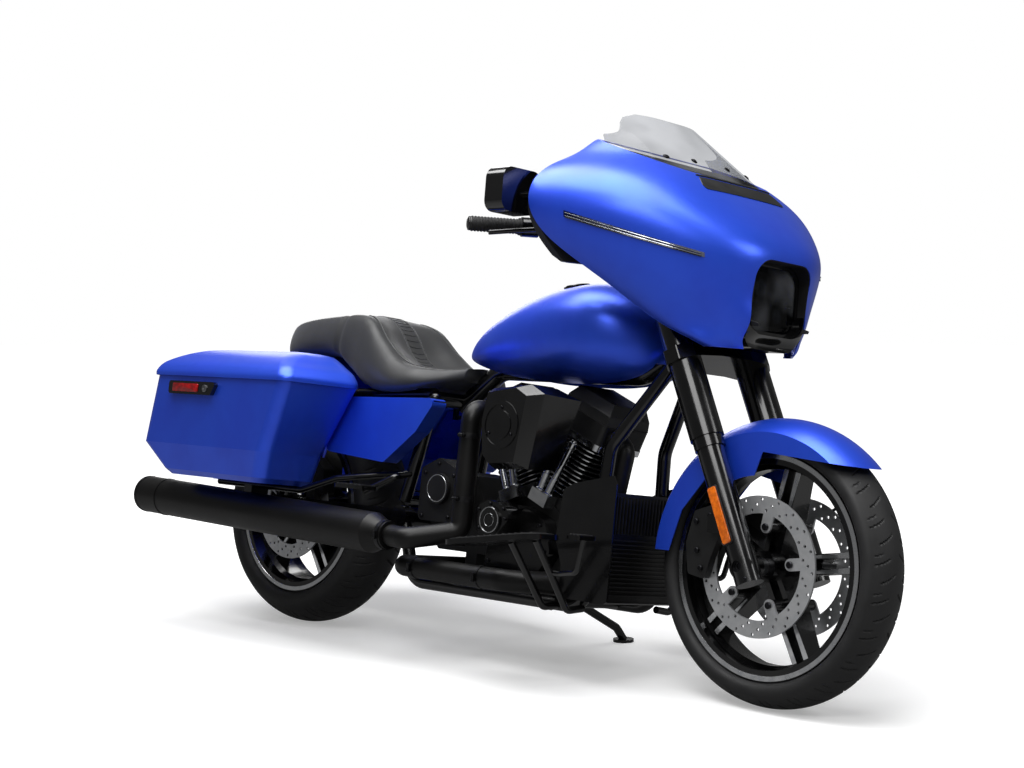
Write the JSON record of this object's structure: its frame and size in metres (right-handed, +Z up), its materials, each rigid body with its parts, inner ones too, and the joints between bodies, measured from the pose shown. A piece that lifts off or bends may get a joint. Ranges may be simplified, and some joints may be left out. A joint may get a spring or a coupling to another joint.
{
  "type": "touring cruiser motorcycle",
  "caption": "Touring cruiser motorcycle with a fork-mounted fairing, V-twin engine, hard side cases, two-up seat and cast wheels, leaning on its side stand.",
  "frame": {"origin": "on the ground, under the middle of the bounding box", "axes": "+X forward, +Y to the rider's left, +Z up"},
  "size_m": [2.3482, 1.0091, 1.3775],
  "materials": {
    "aluminium": "satin",
    "amber_lens": "gloss",
    "engine_black": "satin",
    "exhaust_black": "satin",
    "gloss_black": "gloss",
    "lamp_glass": "gloss",
    "leather_black": "satin",
    "paint_black": "satin",
    "paint_blue": "satin",
    "plastic_black": "matt",
    "red_lens": "gloss",
    "rubber": "matt",
    "smoked_glass": "gloss",
    "steel": "satin",
    "tyre_rubber": "matt"
  },
  "bodies": {
    "chassis": {"frame_main": "paint_black", "frame_cradle": "paint_black", "swingarm": "paint_black", "shocks": "paint_black", "rear_axle": "steel", "drive_belt": "rubber", "front_pulley": "steel", "rear_caliper": "paint_black", "engine_case": "engine_black", "engine_covers": "engine_black", "cylinders": "engine_black", "cylinder_heads": "engine_black", "lifter_blocks": "aluminium", "air_cleaner": "paint_black", "headers": "exhaust_black", "mufflers": "exhaust_black", "fuel_tank": "paint_blue", "seat": "leather_black", "rear_fender": "paint_blue", "saddlebags": "paint_blue", "bag_latches": "plastic_black", "bag_rails": "paint_black", "side_covers": "paint_blue", "radiator_cowl": "plastic_black", "radiator": "engine_black", "footboards": "rubber", "tail_lamp": "red_lens", "plate_bracket": "plastic_black"},
    "steering": {"front_axle": "steel", "fork_legs": "gloss_black", "fork_clamps": "paint_black", "front_calipers": "paint_black", "front_fender": "paint_blue", "fairing_bracket": "paint_black", "fairing_shell": "paint_blue", "fairing_vent": "plastic_black", "inner_fairing": "plastic_black", "windscreen": "smoked_glass", "headlamp": "lamp_glass", "chin_trim": "plastic_black", "turn_strips": "amber_lens", "handlebar": "paint_black", "grips": "rubber", "levers": "paint_black", "mirrors": "plastic_black"},
    "front_wheel": {"front_rim": "gloss_black", "front_tyre": "tyre_rubber", "front_discs": "steel"},
    "rear_wheel": {"rear_rim": "gloss_black", "rear_tyre": "tyre_rubber", "rear_disc": "steel", "rear_pulley": "steel"},
    "side_stand": {"side_stand": "paint_black"},
    "bag_lid_left": {"bag_lid_left": "paint_blue"},
    "bag_lid_right": {"bag_lid_right": "paint_blue"}
  },
  "joints": [
    {"name": "steering_head", "type": "hinge", "parent": "chassis", "child": "steering", "pos_m": [0.63022, -0.02392, 0.80257], "axis": [-0.4386, 0.1251, 0.8899], "range_deg": [-23, 29]},
    {"name": "front_wheel_spin", "type": "hinge", "parent": "steering", "child": "front_wheel", "pos_m": [0.85492, -0.09137, 0.3179], "axis": [0.0471, 0.9921, -0.1162], "continuous": true},
    {"name": "rear_wheel_spin", "type": "hinge", "parent": "chassis", "child": "rear_wheel", "pos_m": [-0.7701, -0.09091, 0.3255], "axis": [0, 0.9903, -0.1392], "continuous": true},
    {"name": "side_stand_pivot", "type": "hinge", "parent": "chassis", "child": "side_stand", "pos_m": [0.04195, 0.05931, 0.15155], "axis": [0.0303, 0.8491, 0.5274], "range_deg": [0, 78]},
    {"name": "left_bag_lid", "type": "hinge", "parent": "chassis", "child": "bag_lid_left", "pos_m": [-0.77019, 0.40098, 0.59204], "axis": [-1, 0, -0.0003], "range_deg": [0, 75]},
    {"name": "right_bag_lid", "type": "hinge", "parent": "chassis", "child": "bag_lid_right", "pos_m": [-0.77022, -0.49027, 0.7173], "axis": [1, 0, 0.0003], "range_deg": [0, 75]}
  ]
}
